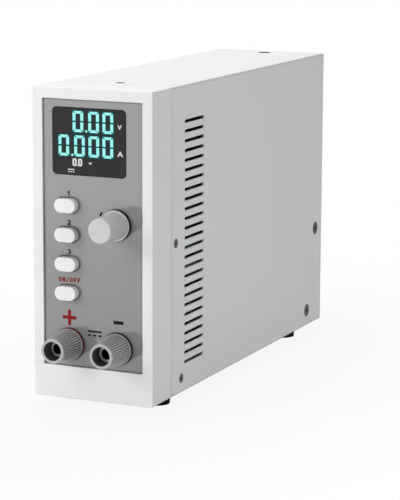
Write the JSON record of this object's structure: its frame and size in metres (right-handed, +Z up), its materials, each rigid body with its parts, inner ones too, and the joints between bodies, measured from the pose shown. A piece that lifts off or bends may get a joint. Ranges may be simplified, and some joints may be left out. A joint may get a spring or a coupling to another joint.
{
  "type": "dc electronic load",
  "caption": "Upright bench DC electronic load with display window, push buttons, turning knob, screw-down binding posts, slotted cover, rear fan, power switch and mains inlet.",
  "frame": {"origin": "on the table under the middle of the instrument's bounding box", "axes": "+X right as seen from the front, +Y to the rear, +Z up"},
  "size_m": [0.055, 0.2092, 0.1349],
  "materials": {
    "frame_white": "fine moulded grain",
    "cover_white": "fine powder coat",
    "panel_grey": "matt paint",
    "window_dark": "smooth gloss",
    "sheet_grey": "matt paint",
    "foot_rubber": "matt",
    "screw_steel": "satin",
    "screw_dark": "dark satin",
    "board_green": "solder resist",
    "black_plastic": "fine grain",
    "brass": "satin",
    "button_white": "satin moulded",
    "knob_metal": "turned satin",
    "cap_metal": "turned satin",
    "stud_nickel": "plated",
    "ring_red": "smooth",
    "ring_black": "smooth",
    "lead_red": "smooth sheath",
    "lead_black": "smooth sheath",
    "lead_brown": "smooth sheath",
    "block_green": "moulded",
    "sink_metal": "extruded",
    "can_blue": "sleeve",
    "copper": "bare strip",
    "core_dark": "ferrite and tape",
    "ribbon_grey": "ribbed",
    "guard_chrome": "bright wire",
    "rocker_black": "smooth"
  },
  "bodies": {
    "chassis": {"front_frame": "frame_white", "front_panel": "panel_grey", "display_window": "window_dark", "cover": "cover_white", "base_plate": "sheet_grey", "rear_panel": "cover_white", "feet": "foot_rubber", "foot_screws": "screw_steel", "cover_screws_small": "screw_dark", "cover_screws_large": "screw_dark", "rear_panel_screws": "screw_steel", "display_board": "board_green", "display_module": "black_plastic", "board_standoffs": "brass", "board_screws": "screw_steel", "push_switches": "black_plastic", "encoder_body": "screw_steel", "encoder_nut": "screw_steel", "knob_seal": "ring_black", "post_ring_pos": "ring_red", "post_ring_neg": "ring_black", "post_stud_pos": "stud_nickel", "post_stud_neg": "stud_nickel", "post_insulators": "black_plastic", "post_nuts": "screw_steel", "input_lead_pos": "lead_red", "input_lead_neg": "lead_black", "terminal_blocks": "block_green", "main_board": "board_green", "main_standoffs": "brass", "front_pillars": "brass", "heat_sink": "sink_metal", "transistors": "black_plastic", "capacitors": "can_blue", "shunt": "copper", "transformer": "core_dark", "ribbon_cable": "ribbon_grey", "ribbon_connectors": "black_plastic", "fan_frame": "black_plastic", "fan_guard": "guard_chrome", "fan_screws": "screw_steel", "switch_body": "black_plastic", "inlet_housing": "black_plastic", "inlet_pins": "brass", "mains_leads": "lead_brown"},
    "knob_turn_body": {"knob": "knob_metal", "encoder_shaft": "screw_steel"},
    "knob_push_body": {"encoder_plunger": "brass"},
    "cap_pos": {"post_cap_pos": "cap_metal"},
    "cap_neg": {"post_cap_neg": "cap_metal"},
    "washer_pos": {"post_washer_pos": "screw_steel"},
    "washer_neg": {"post_washer_neg": "screw_steel"},
    "rotor": {"fan_rotor": "black_plastic"},
    "rocker": {"switch_rocker": "rocker_black"},
    "button_body_1": {"button_1": "button_white"},
    "button_body_2": {"button_2": "button_white"},
    "button_body_3": {"button_3": "button_white"},
    "button_body_4": {"button_4": "button_white"}
  },
  "joints": [
    {"name": "button_1_press", "type": "slide", "parent": "chassis", "child": "button_body_1", "axis": [0, 1, 0], "range_m": [0, 0.0005], "stiffness_N_per_m": 3000},
    {"name": "button_2_press", "type": "slide", "parent": "chassis", "child": "button_body_2", "axis": [0, 1, 0], "range_m": [0, 0.0005], "stiffness_N_per_m": 3000},
    {"name": "button_3_press", "type": "slide", "parent": "chassis", "child": "button_body_3", "axis": [0, 1, 0], "range_m": [0, 0.0005], "stiffness_N_per_m": 3000},
    {"name": "button_4_press", "type": "slide", "parent": "chassis", "child": "button_body_4", "axis": [0, 1, 0], "range_m": [0, 0.0005], "stiffness_N_per_m": 3000},
    {"name": "knob_push", "type": "slide", "parent": "chassis", "child": "knob_push_body", "axis": [0, 1, 0], "range_m": [0, 0.0005], "stiffness_N_per_m": 6000},
    {"name": "knob_turn", "type": "hinge", "parent": "knob_push_body", "child": "knob_turn_body", "pos_m": [0.011, -0.0886, 0.07973], "axis": [0, -1, 0], "continuous": true},
    {"name": "cap_pos_travel", "type": "slide", "parent": "chassis", "child": "washer_pos", "axis": [0, -1, 0], "range_m": [0, 0.004]},
    {"name": "cap_pos_turn", "type": "hinge", "parent": "washer_pos", "child": "cap_pos", "pos_m": [-0.0111, -0.0894, 0.02805], "axis": [0, -1, 0], "range_deg": [0, 1800]},
    {"name": "cap_neg_travel", "type": "slide", "parent": "chassis", "child": "washer_neg", "axis": [0, -1, 0], "range_m": [0, 0.004]},
    {"name": "cap_neg_turn", "type": "hinge", "parent": "washer_neg", "child": "cap_neg", "pos_m": [0.0111, -0.0894, 0.02805], "axis": [0, -1, 0], "range_deg": [0, 1800]},
    {"name": "fan_spin", "type": "hinge", "parent": "chassis", "child": "rotor", "pos_m": [0, 0.0906, 0.0339], "axis": [0, 1, 0], "continuous": true},
    {"name": "power_rock", "type": "hinge", "parent": "chassis", "child": "rocker", "pos_m": [0, 0.1001, 0.0769], "axis": [0, 0, -1], "range_deg": [0, 18]}
  ],
  "couplings": [
    {"joint": "cap_pos_turn", "follows": "cap_pos_travel", "rad_per_m": 7854},
    {"joint": "cap_neg_turn", "follows": "cap_neg_travel", "rad_per_m": 7854}
  ]
}
